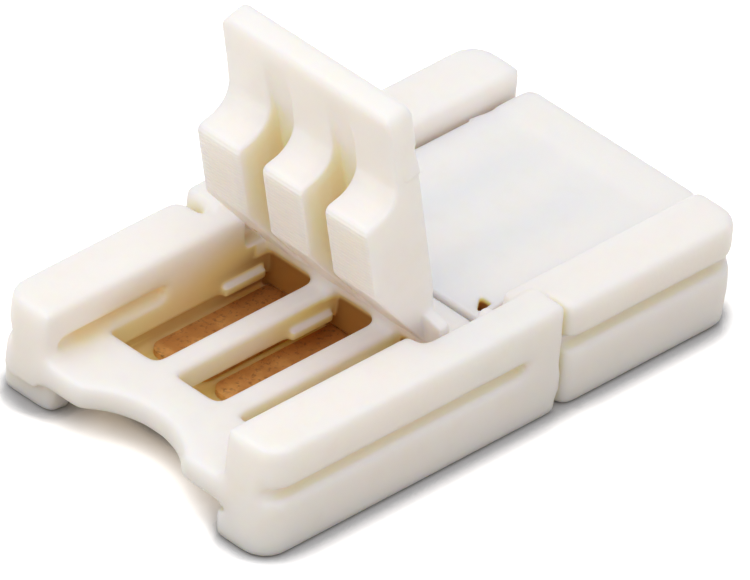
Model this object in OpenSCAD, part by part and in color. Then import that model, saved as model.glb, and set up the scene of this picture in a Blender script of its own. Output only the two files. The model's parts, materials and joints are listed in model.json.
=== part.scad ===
// Two-way clamp connector for a flexible light strip.
// X runs along the strip, Y across it, +Z up. The origin is on the underside, at the middle.
// The front flap (-X) stands open and the rear flap (+X) is shut.

/* [Strip] */
// Width of the flexible strip that slides in at each end
strip_w = 10; // [9:0.5:12]
// Thickness of the strip that a shut flap clamps
strip_t = 0.2; // [0.2:0.05:0.3]
// Clearance between the strip's edge and the channel's wall
strip_clear = 0.15; // [0.1:0.05:0.3]
// Height of the strip channel above the contacts
strip_room = 0.7; // [0.6:0.05:0.9]

/* [Housing] */
// Length of the rails along the strip
body_len = 26.4; // [25:0.2:32]
// Thickness of the wall beside the strip channel
side_wall = 2.35; // [2.2:0.05:3]
// Width of each rail above the slotted plate
rail_w = 2.65; // [2.5:0.05:2.9]
// Plan radius of the four outer corners
corner_r = 1.2; // [1:0.1:1.5]
// Thickness of the base under the contacts
base_t = 0.55; // [0.5:0.05:1]
// Thickness of the slotted plate over the strip
plate_t = 1.2; // [1:0.05:1.6]
// Height of the long rails above the slotted plate
bed_depth = 2.45; // [2.2:0.05:2.8]
// How much lower the short rails are
short_drop = 0.3; // [0.1:0.05:0.4]
// Distance from the end of the rails to the end of the base
base_setback = 3.2; // [2.5:0.1:4]
// Depth of the scoop in the plate's front edge
scoop_depth = 1.3; // [0.6:0.1:1.6]
// Radius of the scoop
scoop_r = 3.75; // [3:0.05:4.5]

/* [Slots] */
// Distance between neighbouring slots, centre to centre
slot_pitch = 3.4; // [3.3:0.05:3.6]
// Distance from the end of the rails to the slots
slot_land = 3.6; // [3.4:0.1:4.2]
// Corner radius of a slot
slot_r = 0.25; // [0.1:0.05:0.5]
// Length of the bridge between the two rows of slots
bridge_len = 1.2; // [0.8:0.1:1.6]
// Length of the hold-down nubs on the slot walls
nub_len = 2.3; // [1.5:0.1:2.6]
// Distance from the bridge to the hold-down nubs
nub_gap = 0.4; // [0.2:0.1:0.6]
// Width of a hold-down nub
nub_w = 0.3; // [0.2:0.05:0.4]
// Height of a hold-down nub
nub_h = 0.45; // [0.3:0.05:0.5]

/* [Feet] */
// How far a short rail's foot is set back from the end of the rails
foot_setback = 0.5; // [0.2:0.05:0.8]
// Length of a foot
foot_len = 1.3; // [0.9:0.1:1.8]
// Height of a foot
foot_h = 1.2; // [0.9:0.05:1.25]
// How far a foot reaches in under the strip's edge
foot_in = 0.5; // [0.3:0.05:1]
// Distance from the outer side to a foot
foot_side = 1.6; // [1.5:0.05:1.9]
// Corner radius of a foot
foot_r = 0.4; // [0.15:0.05:0.5]
// Plan radius of the corners beside the feet
foot_corner_r = 0.4; // [0.2:0.05:0.8]

/* [Rail cuts] */
// Distance from the middle to the split that ends a long rail
split_x = 3.1; // [2.9:0.1:4]
// Width of the split
split_w = 0.25; // [0.2:0.05:0.6]
// Depth of the split
split_depth = 1.4; // [1:0.1:2]
// Corner radius of the short rail at the split
split_r = 0.6; // [0.3:0.05:0.9]
// Height of the outer groove's lower edge
groove_z = 2.65; // [2.2:0.05:2.8]
// Height of the outer groove
groove_h = 0.55; // [0.4:0.05:1]
// Depth of the outer groove
groove_depth = 0.7; // [0.5:0.05:0.95]
// Solid length between the groove and the split
groove_stop = 1.9; // [1:0.1:3]
// Distance from the end of the rails to the latch undercut
latch_in = 0.9; // [0.6:0.1:1.5]
// Length of the latch undercut
latch_len = 6; // [4:0.1:7]
// Height of the latch undercut
latch_h = 0.6; // [0.4:0.05:0.8]
// Depth of the latch undercut
latch_depth = 0.5; // [0.3:0.05:0.6]

/* [Hinge] */
// Distance from the middle to each hinge axis
hinge_x = 1.1; // [1.05:0.05:1.4]
// Height of the hinge axes above the slotted plate
hinge_rise = 1.3; // [1.1:0.05:1.4]
// Radius of the hinge knuckles
knuckle_r = 0.45; // [0.42:0.01:0.5]
// Length of a hinge knuckle
knuckle_len = 0.7; // [0.5:0.05:1]
// How far the lugs at a flap's hinge end reach into the rails
lug_out = 0.8; // [0.6:0.05:1]
// Side clearance of the lugs in the rails
lug_clear = 0.1; // [0.08:0.01:0.2]
// Clearance under a shut flap's lugs
lug_drop = 0.15; // [0.1:0.05:0.3]
// Radius of the hinge pin
pin_r = 0.35; // [0.3:0.01:0.4]
// Length of the hinge pin beyond the knuckle
pin_len = 1; // [0.8:0.05:1.2]
// Radial clearance of the pin in its bore
pin_clear = 0.05; // [0.03:0.01:0.08]
// Clearance at the end of the pin
pin_end_clear = 0.1; // [0.05:0.05:0.2]
// Clearance between the ridge and the flaps' hinge ends
ridge_clear = 0.12; // [0.1:0.01:0.2]
// Depth of the ridge's top below the hinge axes
ridge_drop = 0.2; // [0.1:0.05:0.4]

/* [Flap] */
// Angle at which the front flap stands open
open_deg = 75.5; // [0:0.5:90]
// How far a shut flap reaches past the end of the rails
flap_over = 0.45; // [0.1:0.05:0.8]
// Side gap between a flap and the rails
flap_gap = 0.2; // [0.15:0.01:0.4]
// Clearance between a shut flap and the slotted plate
bed_clear = 0.2; // [0.1:0.05:0.3]
// Depth of a shut flap's panel below the top of the long rails
panel_drop = 1.05; // [0.9:0.05:1.2]
// Thickness of the panel between the ribs
panel_t = 0.75; // [0.6:0.05:0.9]
// Length of the thick band at the free end
band_len = 2.4; // [1.8:0.1:3]
// How far the band stands above the panel
band_rise = 0.1; // [0.05:0.05:0.2]
// Length of the slope up to the band
band_slope = 0.6; // [0.2:0.1:1]
// Distance from the free end to the ramp under the band
ramp_in = 0.9; // [0.6:0.1:1.4]
// Length of the ramp between the band's underside and the panel's
ramp_len = 3.2; // [2:0.1:4]
// Length of the sloped hinge end of the panel
slope_len = 2.8; // [2:0.1:3.5]
// How far the hinge end slopes down
slope_drop = 0.25; // [0.1:0.05:0.3]
// Length of the long lug at one side of the hinge end
lug_len = 1.4; // [1.2:0.1:1.5]
// Length of the short lug at the other side
lug_short = 0.5; // [0.4:0.05:0.6]
// Length over which a lug narrows to the panel
lug_taper = 0.3; // [0.1:0.05:0.3]
// Distance from the hinge axis to the square corner of a three-cornered hole
hole_u = 1.1; // [0.9:0.05:1.4]
// Length of the hole along the flap
hole_len = 0.9; // [0.5:0.05:1]
// Width of the hole across the flap
hole_w = 0.7; // [0.4:0.05:0.9]
// Distance from the flap's side to the hole
hole_side = 0.25; // [0.2:0.05:0.4]
// Plan radius of the free corners
flap_r = 0.6; // [0.3:0.05:1]
// Edge radius of the free end
band_r = 0.3; // [0.1:0.05:0.4]
// Width of the middle pressing rib
rib_w = 2.14; // [1.7:0.02:2.2]
// Side clearance of the middle rib in its slot
rib_clear = 0.06; // [0.05:0.01:0.2]
// Clearance between the rib's nose and the slot's end
nose_clear = 0.06; // [0.05:0.01:0.4]
// Radius of the sweep between the band and a rib's nose
sweep_r = 1.1; // [0.9:0.05:1.5]
// Radius of the rib's nose
nose_r = 0.35; // [0.2:0.05:0.5]
// Distance from the hinge axis to the heel of a rib
heel_u = 4.3; // [4.2:0.1:5.2]
// Height of the heel above the rib's pressing face
heel_rise = 0.05; // [0:0.05:0.4]
// How far a latch nub stands out of the flap's side
catch_out = 0.12; // [0.06:0.01:0.14]
// Length of a latch nub along the flap
catch_len = 1.1; // [0.6:0.1:1.4]
// Distance from the thick band to the latch nub's square end
catch_back = 1.1; // [0.8:0.05:1.4]

/* [Contacts] */
// Width of a contact
contact_w = 2.95; // [2.3:0.05:3]
// Thickness of a contact
contact_t = 0.25; // [0.2:0.01:0.35]
// Depth of the groove that seats a contact
contact_seat = 0.1; // [0.05:0.05:0.15]
// Clearance between a contact and its groove
contact_clear = 0.05; // [0.03:0.01:0.1]
// Distance from the end of the base to the contact's end
contact_inset = 2.8; // [2:0.1:3]
// Corner radius of a contact's ends
contact_r = 0.6; // [0.3:0.1:1]
// Radius of a contact's pressed dimple
dimple_r = 0.55; // [0.4:0.05:0.6]
// Height of a contact's pressed dimple
dimple_h = 0.12; // [0.05:0.01:0.15]
// Distance from the contact's end to the dimple
dimple_back = 0.8; // [0.7:0.05:0.9]

/* [Hidden] */
$fn = 48;
ivory = [0.95, 0.93, 0.89];
copper = [0.62, 0.38, 0.20];
eps = 0.01;

// Half widths across the part
channel_half = strip_w / 2 + strip_clear;
body_half = channel_half + side_wall;
bed_half = body_half - rail_w;
flap_half = bed_half - flap_gap;
recess_half = bed_half + lug_out;
lug_half = recess_half - lug_clear;
pin_half = lug_half + pin_len;
bore_half = pin_half + pin_end_clear;

// Levels, from the underside up
contact_top = base_t + contact_t;
plate_z = contact_top + strip_room;
bed_z = plate_z + plate_t;
body_h = bed_z + bed_depth;
hinge_z = bed_z + hinge_rise;

// Distances from the middle along the strip
body_end = body_len / 2;
base_end = body_end - base_setback;
slot_end = body_end - slot_land;
slot_start = bridge_len / 2;
contact_end = base_end - contact_inset;
slot_w = rib_w + 2 * rib_clear;
slot_side = slot_pitch - slot_w / 2;

// A shut flap's section: u away from the hinge axis, w up from it
flap_len = body_end + flap_over - hinge_x;
band_u = flap_len - band_len;
ramp_u = flap_len - ramp_in;
panel_top = bed_depth - hinge_rise - panel_drop;
panel_low = panel_top - panel_t;
band_top = panel_top + band_rise;
band_low = bed_clear - hinge_rise;
rib_low = contact_top + strip_t - hinge_z;
sweep_w = band_low - sweep_r;
plate_cut = sqrt(2 * sweep_r * bed_clear - bed_clear ^ 2);
sweep_u = slot_end - hinge_x - nose_clear + plate_cut;
nose_u = sweep_u - sweep_r - nose_r;
slope_low = panel_top - slope_drop;
recess_z = hinge_z + panel_low - lug_drop;
rib_top = panel_low + panel_t / 2;
rib_side = slot_pitch - rib_w / 2;

module rounded_rect(l, w, r) {
  square([l - 2 * r, w], center = true);
  square([l, w - 2 * r], center = true);
  for (x = [-1, 1], y = [-1, 1])
    translate([x * (l / 2 - r), y * (w / 2 - r)]) circle(r);
}

// A box that spans y0 to y1 on both sides of the middle plane
module both_sides(x0, x1, y0, y1, z0, z1) {
  for (side = [0, 1])
    mirror([0, side, 0]) translate([x0, y0, z0]) cube([x1 - x0, y1 - y0, z1 - z0]);
}

// A cylinder along Y that spans y0 to y1 on both sides of the middle plane
module both_rods(r, y0, y1) {
  for (side = [0, 1])
    mirror([0, side, 0]) translate([0, y0, 0]) rotate([-90, 0, 0]) cylinder(r = r, h = y1 - y0);
}

// Plan of the front row of slots: a middle one, and two that run out to the rails
module slot_plan() {
  slot_len = slot_end - slot_start;
  side_w = bed_half - slot_side;
  translate([-slot_start - slot_len / 2, 0]) {
    rounded_rect(slot_len, slot_w, slot_r);
    for (side = [-1, 1])
      translate([0, side * (slot_side + side_w / 2)]) rounded_rect(slot_len, side_w, slot_r);
  }
}

// Outer block with the flap bed, the strip channel, the slots and the contact grooves taken out
module shell() {
  difference() {
    linear_extrude(body_h) rounded_rect(body_len, 2 * body_half, corner_r);
    translate([-body_end - eps, -bed_half, bed_z])
      cube([body_len + 2 * eps, 2 * bed_half, bed_depth + eps]);
    for (y = [-slot_pitch, 0, slot_pitch])
      translate([-base_end - eps, y - contact_w / 2 - contact_clear, base_t])
        cube([2 * base_end + 2 * eps, contact_w + 2 * contact_clear, contact_t + contact_clear]);
    for (turn = [0, 180]) rotate([0, 0, turn]) {
      translate([-body_end - eps, -channel_half, base_t + contact_seat])
        cube([body_end + eps - slot_start, 2 * channel_half, plate_z - base_t - contact_seat]);
      translate([-body_end - eps, -channel_half, -eps])
        cube([base_setback + eps, 2 * channel_half, plate_z]);
      translate([0, 0, -eps]) linear_extrude(foot_h + eps) difference() {
        translate([-body_end - eps, channel_half - eps]) square([2 * corner_r, side_wall + 2 * eps]);
        rounded_rect(body_len - 2 * foot_setback, 2 * body_half, foot_corner_r);
      }
      translate([scoop_depth - scoop_r - body_end, 0, plate_z - eps])
        cylinder(r = scoop_r, h = plate_t + 2 * eps, $fn = 96);
      translate([0, 0, plate_z - eps]) linear_extrude(plate_t + 2 * eps) slot_plan();
    }
  }
}

// One foot at a front corner: x is its front end, side is its rail
module foot(x, side) {
  foot_w = body_half - foot_side - channel_half + foot_in;
  translate([x + foot_len / 2, side * (channel_half - foot_in + foot_w / 2), 0])
    linear_extrude(foot_h) rounded_rect(foot_len, foot_w, foot_r);
}

// Feet at the front corners and the hold-down nubs on the front slots' walls
module front_adds() {
  nub_x = -slot_start - nub_gap;
  foot(-body_end, -1);
  foot(foot_setback - body_end, 1);
  for (y = [slot_w / 2 - nub_w, slot_side, bed_half - nub_w])
    both_sides(nub_x - nub_len, nub_x, y, y + nub_w, plate_z, plate_z + nub_h);
}

// Cross wall between the two hinges, narrower beside the knuckles
module ridge() {
  ridge_h = hinge_rise - ridge_drop;
  middle_half = lug_half - knuckle_len - ridge_clear;
  for (size = [[hinge_x - ridge_clear, middle_half], [hinge_x - knuckle_r - ridge_clear, bed_half + eps]])
    translate([-size[0], -size[1], bed_z - eps]) cube([2 * size[0], 2 * size[1], ridge_h + eps]);
}

// Hinge bores, latch undercuts, and the near rail's lug recess, split, low end and grooves
module front_cuts() {
  latch_x = latch_in - body_end;
  recess_end = hinge_x + lug_short + lug_taper + lug_clear;
  for (cut = [[recess_end, recess_z], [split_x + eps, body_h - short_drop]])
    translate([-split_x, -recess_half, cut[1]])
      cube([split_x + cut[0], lug_out + eps, body_h + eps - cut[1]]);
  translate([-hinge_x, 0, hinge_z]) both_rods(pin_r + pin_clear, recess_half - eps, bore_half);
  both_sides(latch_x, latch_x + latch_len, bed_half - eps, bed_half + latch_depth, bed_z, bed_z + latch_h);
  translate([split_x, -body_half - eps, -eps])
    cube([split_w, split_depth + eps, body_h + 2 * eps]);
  translate([split_x, -body_half - eps, body_h - short_drop])
    cube([body_end - split_x + eps, rail_w + 2 * eps, short_drop + eps]);
  translate([split_x + split_w, -body_half, -eps])
    linear_extrude(body_h + 2 * eps) difference() {
      translate([-eps, -eps]) square(split_r + eps);
      translate([split_r, split_r]) circle(split_r);
    }
  translate([-body_end - eps, -body_half - eps, groove_z])
    cube([body_end + split_x - groove_stop + eps, groove_depth + eps, groove_h]);
  translate([split_x + split_w / 2, -body_half - eps, groove_z])
    cube([body_end - split_x, groove_depth + eps, groove_h]);
}

// One-piece moulding, the same again when turned half round
module housing() {
  color(ivory) difference() {
    union() {
      shell();
      ridge();
      for (turn = [0, 180]) rotate([0, 0, turn]) front_adds();
    }
    for (turn = [0, 180]) rotate([0, 0, turn]) front_cuts();
  }
}

// Section of the panel: sloped hinge end, thin middle, thick band with rounded edges
module panel_section() {
  polygon(concat(
    [[0, panel_low], [0, slope_low], [slope_len, panel_top], [band_u, panel_top]],
    [[band_u + band_slope, band_top]],
    [for (a = [90:-15:0]) [flap_len - band_r + band_r * cos(a), band_top - band_r + band_r * sin(a)]],
    [for (a = [0:-15:-90]) [flap_len - band_r + band_r * cos(a), band_low + band_r + band_r * sin(a)]],
    [[ramp_u, band_low], [ramp_u - ramp_len, panel_low]]
  ));
}

// Section of a rib: slope up from the hinge, pressing face, round nose, sweep to the band
module rib_section() {
  polygon(concat(
    [[0, rib_top], [0, panel_low], [heel_u, rib_low + heel_rise]],
    [for (a = [-90:15:0]) [nose_u + nose_r * cos(a), rib_low + nose_r + nose_r * sin(a)]],
    [for (a = [180:-15:90]) [sweep_u + sweep_r * cos(a), sweep_w + sweep_r * sin(a)]],
    [[ramp_u + eps, band_low], [ramp_u + eps, rib_top]]
  ));
}

// Panel, ribs and lugs of a flap, before the holes
module flap_blank() {
  intersection() {
    rotate([90, 0, 0]) linear_extrude(2 * flap_half, center = true) panel_section();
    translate([0, 0, -body_h])
      linear_extrude(2 * body_h) rounded_rect(2 * flap_len, 2 * flap_half, flap_r);
  }
  rotate([90, 0, 0]) linear_extrude(rib_w, center = true) rib_section();
  for (side = [0, 1])
    mirror([0, side, 0]) translate([0, flap_half, 0])
      rotate([90, 0, 0]) linear_extrude(flap_half - rib_side) rib_section();
  translate([0, 0, panel_low]) linear_extrude(slope_low - panel_low) polygon([
    [0, -lug_half], [lug_short, -lug_half], [lug_short + lug_taper, -flap_half],
    [lug_len + lug_taper, flap_half], [lug_len, lug_half], [0, lug_half]
  ]);
}

// One flap, shut, with its hinge axis on the Y axis and its free end toward +X
module flap() {
  difference() {
    flap_blank();
    for (side = [0, 1]) mirror([0, side, 0]) translate([hole_u, flap_half - hole_side, -body_h])
      linear_extrude(2 * body_h) polygon([[0, -hole_w], [0, 0], [-hole_len, 0]]);
  }
  both_rods(knuckle_r, lug_half - knuckle_len, lug_half);
  both_rods(pin_r, lug_half - eps, pin_half);
  for (side = [0, 1])
    mirror([0, side, 0]) translate([band_u - catch_back, flap_half - eps, panel_low])
      linear_extrude(panel_t) polygon([[0, 0], [catch_len, 0], [0, catch_out + eps]]);
}

module front_flap() {
  color(ivory) translate([-hinge_x, 0, hinge_z]) rotate([0, open_deg, 0]) rotate([0, 0, 180]) flap();
}

module rear_flap() {
  color(ivory) translate([hinge_x, 0, hinge_z]) flap();
}

// A flat stamped strip with a pressed dimple near each end
module contact(y) {
  dimple_ball = (dimple_r ^ 2 + dimple_h ^ 2) / (2 * dimple_h);
  dimple_x = contact_end - dimple_back;
  color(copper) translate([0, y, base_t]) {
    linear_extrude(contact_t) rounded_rect(2 * contact_end, contact_w, contact_r);
    for (x = [-dimple_x, dimple_x]) translate([x, 0, 0]) intersection() {
      translate([0, 0, contact_t + dimple_h - dimple_ball]) sphere(dimple_ball);
      translate([0, 0, contact_t / 2]) cylinder(r = dimple_r, h = contact_t);
    }
  }
}

module contact_far() { contact(slot_pitch); }
module contact_middle() { contact(0); }
module contact_near() { contact(-slot_pitch); }

housing();
front_flap();
rear_flap();
contact_far();
contact_middle();
contact_near();
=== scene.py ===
import json
import math

import bpy
from mathutils import Matrix, Vector
from mathutils.bvhtree import BVHTree


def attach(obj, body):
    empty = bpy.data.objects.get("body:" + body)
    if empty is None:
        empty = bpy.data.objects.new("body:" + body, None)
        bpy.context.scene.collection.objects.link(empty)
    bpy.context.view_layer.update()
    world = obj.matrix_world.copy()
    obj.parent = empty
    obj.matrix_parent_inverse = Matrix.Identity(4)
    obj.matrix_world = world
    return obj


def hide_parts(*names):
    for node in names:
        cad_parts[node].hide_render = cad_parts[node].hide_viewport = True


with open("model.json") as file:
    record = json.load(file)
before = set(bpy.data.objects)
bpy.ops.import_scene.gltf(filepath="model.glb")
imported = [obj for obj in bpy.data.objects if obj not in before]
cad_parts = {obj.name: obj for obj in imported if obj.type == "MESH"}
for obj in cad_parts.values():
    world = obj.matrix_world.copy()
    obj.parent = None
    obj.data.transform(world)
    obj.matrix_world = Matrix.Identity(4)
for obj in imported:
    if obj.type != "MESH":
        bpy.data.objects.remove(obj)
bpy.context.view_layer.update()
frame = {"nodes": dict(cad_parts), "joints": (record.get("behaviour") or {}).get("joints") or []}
bpy.context.scene.view_settings.view_transform = "Standard"


# Housing: one moulding in natural white nylon, with the base, the slotted plate, four rail
# lengths, feet and grooves in one. It comes out of the mould with every edge run soft and a satin
# skin. Its colour carries painted light: a warm cream tint in closed-in places, standing for light
# gone through or bounced about in the nylon, and painted brown shade and copper reflection in the
# strip channel and low on the walls by the hinge.

def bare_selection():
    """Leave nothing selected, so that the next operator acts on one piece only."""
    if bpy.context.object and bpy.context.object.mode != "OBJECT":
        bpy.ops.object.mode_set(mode="OBJECT")
    bpy.ops.object.select_all(action="DESELECT")


def pick(piece):
    bare_selection()
    piece.select_set(True)
    bpy.context.view_layer.objects.active = piece


def resize_mesh(piece, times):
    """Scale a piece about the origin and put the scale into its mesh."""
    pick(piece)
    piece.scale = (times, times, times)
    bpy.ops.object.transform_apply(location=False, rotation=False, scale=True)


def run_modifier(piece, kind, **settings):
    """Add a modifier, set it and apply it to the mesh."""
    pick(piece)
    made = piece.modifiers.new(kind.lower(), kind)
    for key, value in settings.items():
        setattr(made, key, value)
    bpy.ops.object.modifier_apply(modifier=made.name)


def ramp(value, start, end):
    """0 at start, 1 at end and a straight rise between."""
    return min(max((value - start) / (end - start), 0), 1)


def moulding(node, name, cell, passes, softness, soft_passes, triangles):
    """A soft-edged moulding on a node's solid, worked in millimetres.

    cell is the mesh size, passes soften every edge a little, and soft_passes more soften the
    places where softness, a function of a point, is near 1.
    """
    mesh = frame["nodes"][node].data.copy()
    mesh.materials.clear()
    piece = bpy.data.objects.new(name, mesh)
    bpy.context.scene.collection.objects.link(piece)
    resize_mesh(piece, 1000)
    bpy.ops.object.mode_set(mode="EDIT")
    bpy.ops.mesh.select_all(action="SELECT")
    bpy.ops.mesh.remove_doubles(threshold=0.001)
    bpy.ops.object.mode_set(mode="OBJECT")
    run_modifier(piece, "REMESH", mode="VOXEL", voxel_size=cell)
    run_modifier(piece, "SMOOTH", factor=0.5, iterations=passes)
    group = piece.vertex_groups.new(name="soft")
    for vertex in piece.data.vertices:
        group.add([vertex.index], softness(vertex.co), "REPLACE")
    run_modifier(piece, "SMOOTH", factor=0.5, iterations=soft_passes, vertex_group="soft")
    piece.vertex_groups.clear()
    run_modifier(piece, "TRIANGULATE")
    share = triangles / len(piece.data.polygons)
    if share < 1:
        run_modifier(piece, "DECIMATE", ratio=share)
    resize_mesh(piece, 0.001)
    bpy.ops.object.shade_smooth()
    return piece


def mark_shelter(piece, reach, rays):
    """Store how closed in each point is: the share of short rays that meet the piece again."""
    tree = BVHTree.FromPolygons([vertex.co for vertex in piece.data.vertices],
                                [face.vertices for face in piece.data.polygons])
    turn = math.pi * (3 - math.sqrt(5))
    shelter = piece.data.attributes.new("shelter", "FLOAT", "POINT")
    for vertex, value in zip(piece.data.vertices, shelter.data):
        across = vertex.normal.orthogonal().normalized()
        beside = vertex.normal.cross(across)
        start = vertex.co + 0.02 * reach * vertex.normal
        met = 0
        for ray in range(rays):
            lift = math.sqrt(1 - (ray + 0.5) / rays)
            spread = math.sqrt(1 - lift ** 2)
            way = (lift * vertex.normal + spread * math.cos(turn * ray) * across
                   + spread * math.sin(turn * ray) * beside)
            met += tree.ray_cast(start, way, reach)[0] is not None
        value.value = met / rays


def tone(red, green, blue):
    """A colour given as the 0 to 255 values it shows on a screen, for a shader's socket."""
    def linear(value):
        value /= 255
        return value / 12.92 if value <= 0.04045 else ((value + 0.055) / 1.055) ** 2.4
    return linear(red), linear(green), linear(blue), 1


class Wire:
    """A node's output. Python's operators on it add Math nodes."""

    def __init__(self, finish, socket):
        self.finish = finish
        self.socket = socket

    def maths(self, operation, first, second=None):
        values = {0: first} if second is None else {0: first, 1: second}
        return self.finish.node("ShaderNodeMath", {"operation": operation}, values)

    def __add__(self, other):
        return self.maths("ADD", self, other)

    __radd__ = __add__

    def __mul__(self, other):
        return self.maths("MULTIPLY", self, other)

    __rmul__ = __mul__

    def sine(self):
        return self.maths("SINE", self)

    def size(self):
        return self.maths("ABSOLUTE", self)

    def step(self, start, end):
        """0 below start, 1 above end and a smooth rise between (falling where start is higher)."""
        return self.finish.node(
            "ShaderNodeMapRange", {"interpolation_type": "SMOOTHSTEP"},
            {"Value": self, "From Min": start, "From Max": end})


class Finish:
    """A material, or the light all round, as its nodes are put together."""

    def __init__(self, name, owner=None):
        self.owner = owner or bpy.data.materials.new(name)
        self.owner.use_nodes = True
        self.tree = self.owner.node_tree
        self.tree.nodes.clear()

    def node(self, kind, settings=None, sockets=None, out=0):
        made = self.tree.nodes.new(kind)
        for key, value in (settings or {}).items():
            setattr(made, key, value)
        for key, value in (sockets or {}).items():
            if isinstance(value, Wire):
                self.tree.links.new(value.socket, made.inputs[key])
            else:
                made.inputs[key].default_value = value
        return Wire(self, made.outputs[out] if made.outputs else None)

    def blend(self, share, first, second):
        """The first colour at share 0 and the second at 1."""
        return self.node("ShaderNodeMix", {"data_type": "RGBA"}, {0: share, 6: first, 7: second}, 2)

    def noise(self, place, size, detail=2):
        """Noise with lumps of the given size in metres."""
        return self.node("ShaderNodeTexNoise", {},
                         {"Vector": place, "Scale": 1 / size, "Detail": detail})

    def surface(self, shader):
        self.node("ShaderNodeOutputMaterial", {}, {"Surface": shader})
        return self.owner


def mark_painted_warm_shade(piece, share):
    """Store painted warm shade for each point, standing for shade and light bounced off the copper:
    share of its place in mm and its normal.
    """
    painted_warm_shade = piece.data.attributes.new("painted_warm_shade", "FLOAT", "POINT")
    for vertex, value in zip(piece.data.vertices, painted_warm_shade.data):
        value.value = share(1000 * vertex.co, vertex.normal)


def nylon_finish(name, ridged):
    """Natural nylon; a ridged piece also carries the tool lines on its pressing faces."""
    finish = Finish(name)
    place = finish.node("ShaderNodeTexCoord", out="Object")
    shelter = finish.node("ShaderNodeAttribute", {"attribute_name": "shelter"}, out="Fac")
    painted_warm_shade = finish.node("ShaderNodeAttribute", {"attribute_name": "painted_warm_shade"}, out="Fac")
    drift = finish.noise(place, 0.009)
    mottle = finish.noise(place, 0.0012, 4)
    grain = finish.noise(place, 0.00022, 3)
    colour = finish.blend(drift.step(0.3, 0.7), tone(252, 243, 240), tone(250, 240, 236))
    colour = finish.blend(mottle.step(0.45, 0.75) * 0.4, colour, tone(248, 238, 229))
    # Painted light: a warm cream tint where the shelter value is high, standing for light gone
    # through or bounced about in the nylon in closed-in places.
    colour = finish.blend(shelter.step(0.25, 0.7), colour, tone(250, 241, 219))
    colour = finish.blend(shelter.step(0.6, 0.95), colour, tone(247, 233, 196))
    # Painted shade and painted copper reflection: cream, then brown, where the stored warm shade
    # value is high.
    colour = finish.blend(painted_warm_shade.step(0, 0.5), colour, tone(243, 226, 162))
    colour = finish.blend(painted_warm_shade.step(0.4, 1), colour, tone(176, 124, 60))
    relief = grain * 0.25 + mottle * 0.5
    if ridged:
        along = finish.node("ShaderNodeAttribute", {"attribute_name": "along"}, out="Fac")
        facet = finish.node("ShaderNodeAttribute", {"attribute_name": "facet"}, out="Fac")
        line_pitch = 0.17
        line = (along * (2 * math.pi / line_pitch)).sine() * facet
        relief = relief + line * 0.5
        # The tool lines also show in the colour as faint darker stripes: painted shade of their
        # ridges, on top of their bump.
        colour = finish.blend((line * 0.5 + 0.5 * facet) * 0.22, colour, tone(236, 228, 217))
    bump = finish.node("ShaderNodeBump", {}, {
        "Strength": 0.5, "Distance": 0.00003, "Height": relief})
    shader = finish.node("ShaderNodeBsdfPrincipled", {}, {
        "Base Color": colour, "Roughness": mottle * 0.12 + 0.38, "Normal": bump, "IOR": 1.5,
        "Subsurface Weight": 0.8, "Subsurface Radius": (1.0, 0.75, 0.45),
        "Subsurface Scale": 0.0018})
    return finish.surface(shader)


def housing_softness(point):
    """Most on the rails' tops and on the plate's lip, where the real edges are like a pillow's.

    Places are in millimetres: out along the strip and side across it, both from the middle.
    """
    out, side, z = abs(point.x), abs(point.y), point.z
    rail_top = ramp(z, 3.3, 3.9)
    lip = ramp(out, 10.2, 11) * ramp(side, 5, 4.7) * ramp(z, 1.2, 1.4)
    bars = 0.6 * ramp(out, 10.2, 9.4) * ramp(side, 4.7, 4.4) * ramp(z, 1.9, 2.3)
    undercut = ramp(side, 4.4, 4.7) * ramp(side, 6, 5.6) * ramp(z, 2.2, 2.6) * ramp(out, 5.4, 6.4)
    groove = 0.7 * ramp(side, 6.4, 6.8) * ramp(z, 1.9, 2.3)
    feet = 0.4 * ramp(z, 1.4, 1) * ramp(out, 11, 11.6)
    sole = ramp(z, 1.1, 0.6) * max(ramp(side, 6.2, 6.8), ramp(out, 11.5, 12.1))
    recess_end = ramp(out, 1.95, 2.1) * ramp(out, 3.4, 2.8) * ramp(z, 2.5, 3)
    recess = recess_end * ramp(side, 4.8, 5.1) * ramp(side, 6.4, 6)
    return max(rail_top, lip, bars, undercut, groove, feet, sole, recess)


def housing_painted_warm_shade(point, normal):
    """Painted shade and copper reflection: most in the strip channel and low on the walls by the
    hinge, least on what faces up.
    """
    out, side, z = abs(point.x), abs(point.y), point.z
    between_rails = ramp(side, 6.3, 6)
    channel = 0.62 * ramp(z, 1.6, 1.35) * ramp(out, 10.4, 9.6) * ramp(z, 0.1, 0.3)
    slot_end = ramp(abs(normal.x), 0.5, 0.8) * ramp(out, 2.7, 2.3) * ramp(z, 2.7, 2.3)
    facing_across = ramp(normal.z, 0.7, 0.2)
    by_far_rail = 0.25 + 0.75 * ramp(point.y, -3, 0.5)
    hinge_ridge = ramp(out, 1.6, 1.3) * ramp(z, 2.4, 2.65)
    walls = 0.13 + 0.23 * ramp(side, 4.4, 4.8) + 0.45 * ramp(out, 5, 1.5)
    walls *= ramp(z, 4.6, 2.4) * facing_across * by_far_rail * (1 - hinge_ridge)
    bed = ramp(out, 11, 9.5) * max(channel, slot_end, walls)
    rail_foot = 0.3 * ramp(side, 4.3, 5.2) * ramp(out, 12, 11) * ramp(z, 3.6, 3) * ramp(z, 1.9, 2.2)
    return between_rails * max(rail_foot, bed)


housing = moulding("housing", "housing_moulding", cell=0.09, passes=10,
                   softness=housing_softness, soft_passes=80, triangles=170000)
mark_shelter(housing, reach=0.0035, rays=24)
mark_painted_warm_shade(housing, housing_painted_warm_shade)
housing.data.materials.append(nylon_finish("natural_nylon", ridged=False))
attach(housing, "housing")
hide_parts("housing")


# Contacts: three flat copper strips pressed into grooves of the base, each with a round dimple
# near either end that the strip's pads press on. The sheet is bare, handled and a little brown,
# with dark specks where it was cut; its colour is also painted darker towards the middle, as
# painted shade under the flaps.

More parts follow.
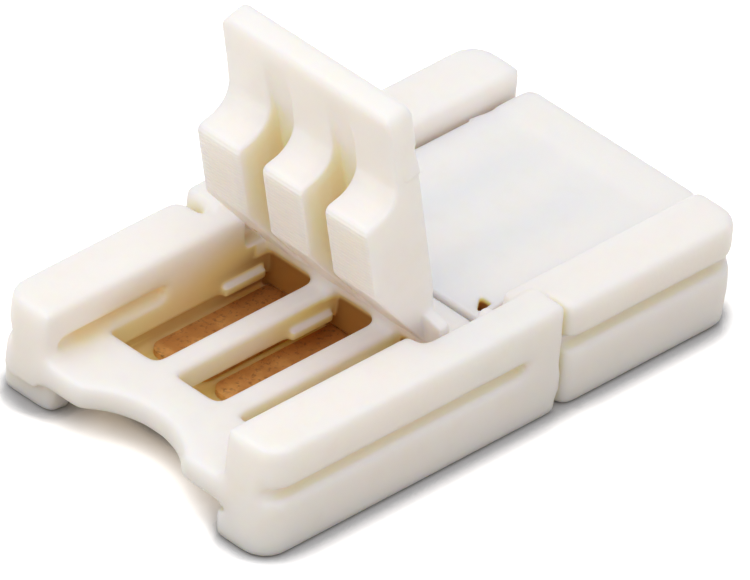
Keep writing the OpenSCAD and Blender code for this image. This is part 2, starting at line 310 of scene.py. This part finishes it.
def copper_finish():
    finish = Finish("bare_copper")
    place = finish.node("ShaderNodeTexCoord", out="Object")
    cloud = finish.noise(place, 0.0012, 5)
    speck = finish.noise(place, 0.00018, 6).step(0.5, 0.75)
    lengthways = finish.node("ShaderNodeSeparateXYZ", {}, {0: place}, "X").size()
    colour = finish.blend(cloud.step(0.35, 0.65), tone(232, 180, 112), tone(204, 146, 84))
    # Painted shade: the copper is darker towards the middle, where the flaps shade it.
    colour = finish.blend(lengthways.step(0.005, 0.001), colour, tone(206, 142, 76))
    colour = finish.blend(speck * 0.5, colour, tone(112, 66, 32))
    bump = finish.node("ShaderNodeBump", {}, {
        "Strength": 0.6, "Distance": 0.0001, "Height": cloud + speck * 0.4})
    shader = finish.node("ShaderNodeBsdfPrincipled", {}, {
        "Base Color": colour, "Roughness": cloud * 0.25 + 0.4, "Normal": bump, "Metallic": 0.5})
    return finish.surface(shader)


copper = copper_finish()
for node in ("contact_far", "contact_middle", "contact_near"):
    frame["nodes"][node].data.materials.clear()
    frame["nodes"][node].data.materials.append(copper)


# Flaps: two copies of one moulding in the same nylon, each a panel with a raised band at its free
# end, three pressing ribs below it and a hinge barrel whose pins snap into the rails. The pressing
# faces of the ribs still show the fine lines left by the cutter in the mould.

hinge = {row["name"]: row for row in frame["joints"]}
rear_axis = Vector(hinge["rear_flap_hinge"]["pos_m"])
front_axis = Vector(hinge["front_flap_hinge"]["pos_m"])
stands_open = math.radians(-hinge["front_flap_hinge"]["range_deg"][0])


def flap_softness(point):
    """Most on the band at the free end."""
    return ramp(point.x, 10.4, 11.4)


rear_flap = moulding("rear_flap", "rear_flap_moulding", cell=0.07, passes=10,
                     softness=flap_softness, soft_passes=20, triangles=120000)
along = rear_flap.data.attributes.new("along", "FLOAT", "POINT")
facet = rear_flap.data.attributes.new("facet", "FLOAT", "POINT")
for index, vertex in enumerate(rear_flap.data.vertices):
    u = (vertex.co.x - rear_axis.x) * 1000
    w = (vertex.co.z - rear_axis.z) * 1000
    along.data[index].value = u
    pressing = 4.4 < u < 7.9 and w < -2.0 and vertex.normal.z < -0.5
    facet.data[index].value = 1.0 if pressing else 0.0


def flap_painted_warm_shade(point, normal):
    """Painted warm shade, most in the two three-cornered holes beside the hinge."""
    u, side = point.x - 1000 * rear_axis.x, abs(point.y)
    hole = ramp(u, 0, 0.2) * ramp(u, 1.4, 1.2) * ramp(side, 3.5, 3.7) * ramp(side, 4.6, 4.4)
    return hole * ramp(point.z, 3.9, 3.6) * ramp(abs(normal.z), 0.7, 0.4)


mark_shelter(rear_flap, reach=0.0025, rays=24)
mark_painted_warm_shade(rear_flap, flap_painted_warm_shade)
front_flap = rear_flap.copy()
front_flap.data = rear_flap.data.copy()
front_flap.name = "front_flap_moulding"
bpy.context.scene.collection.objects.link(front_flap)
front_flap.data.transform(
    Matrix.Translation(front_axis) @ Matrix.Rotation(stands_open, 4, "Y")
    @ Matrix.Rotation(math.pi, 4, "Z") @ Matrix.Translation(-rear_axis))

flap_nylon = nylon_finish("flap_nylon", ridged=True)
for flap, body in ((rear_flap, "rear_flap"), (front_flap, "front_flap")):
    flap.data.materials.append(flap_nylon)
    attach(flap, body)
    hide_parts(body)


# Studio: a pale floor, a wide soft lamp high up and a little to the front left, even light all
# round, and the camera of a small product shot taken with a long lens.

def seen(finish):
    """1 for a ray that the picture shows: straight, mirrored or through another piece."""
    return (finish.node("ShaderNodeLightPath", out="Is Camera Ray")
            + finish.node("ShaderNodeLightPath", out="Is Glossy Ray")
            + finish.node("ShaderNodeLightPath", out="Is Transmission Ray"))


def floor_finish():
    """White to the eye, with a close contact shadow; to the object a grey mat on pale paper."""
    finish = Finish("studio_floor")
    place = finish.node("ShaderNodeTexCoord", out="Object")
    cloud = finish.noise(place, 0.05)
    away = finish.node("ShaderNodeVectorMath", {"operation": "LENGTH"}, {0: place}, "Value")
    mat = finish.blend(cloud, tone(172, 163, 145), tone(166, 157, 139))
    paper = finish.node("ShaderNodeBsdfPrincipled", {}, {
        "Base Color": finish.blend(away.step(0.02, 0.035), mat, tone(240, 234, 228)),
        "Roughness": 1, "Specular IOR Level": 0})
    shade = finish.node("ShaderNodeBsdfDiffuse", {}, {"Color": (0.5, 0.51, 0.53, 1)})
    white = finish.node("ShaderNodeBsdfDiffuse", {}, {"Color": (1.9, 1.9, 1.9, 1)})
    clear = finish.node("ShaderNodeAmbientOcclusion", {"samples": 8}, {"Distance": 0.0016}, "AO")
    shown = finish.node("ShaderNodeMixShader", {}, {0: clear.step(0.55, 0.97), 1: shade, 2: white})
    both = finish.node("ShaderNodeMixShader", {}, {0: seen(finish), 1: paper, 2: shown})
    return finish.surface(both)


bare_selection()
bpy.ops.mesh.primitive_grid_add(x_subdivisions=4, y_subdivisions=4, size=3, location=(0, 0, 0))
floor = bpy.context.object
floor.name = "studio_floor"
floor.data.materials.append(floor_finish())

azimuth, elevation, roll = (math.radians(value) for value in (-48.99, 35.36, 6.22))
back = Vector((math.sin(azimuth) * math.cos(elevation), -math.cos(azimuth) * math.cos(elevation),
               math.sin(elevation)))
level = Vector((math.cos(azimuth), math.sin(azimuth), 0))
upright = back.cross(level)
right = math.cos(roll) * level + math.sin(roll) * upright
up = math.cos(roll) * upright - math.sin(roll) * level
distance, shift_right, shift_up = 1.0, 0.000493, 0.002492
picture_centre = Vector((-0.0001, 0, 0))
eye = distance * back + shift_right * right + shift_up * up + picture_centre
focal_pixels, picture_pixels = 25659, 750
lens = bpy.data.cameras.new("product_camera")
lens.sensor_width = 36
lens.lens = focal_pixels / picture_pixels * lens.sensor_width
lens.clip_start = 0.05
camera = bpy.data.objects.new("product_camera", lens)
camera.matrix_world = Matrix((
    (right.x, up.x, back.x, eye.x), (right.y, up.y, back.y, eye.y),
    (right.z, up.z, back.z, eye.z), (0, 0, 0, 1)))
bpy.context.scene.collection.objects.link(camera)
bpy.context.scene.camera = camera

lamp_distance, lamp_level, sky_level = 0.3, 0.6, 0.6
lamp = bpy.data.lights.new("soft_lamp", "AREA")
lamp.shape = "DISK"
lamp.size = 0.4
lamp.energy = lamp_level * math.pi ** 2 * lamp_distance ** 2
soft_lamp = bpy.data.objects.new("soft_lamp", lamp)
aim = Vector((-0.4, 0, 1.0)).normalized()
soft_lamp.location = aim * lamp_distance
soft_lamp.rotation_euler = aim.to_track_quat("Z", "Y").to_euler()
bpy.context.scene.collection.objects.link(soft_lamp)

world = bpy.data.worlds.new("even_light")
bpy.context.scene.world = world
sky = Finish("even_light", world)
even = sky.node("ShaderNodeBackground", {}, {
    "Color": (1, 1, 1, 1), "Strength": seen(sky) * (1 - sky_level) + sky_level})
sky.node("ShaderNodeOutputWorld", {}, {"Surface": even})
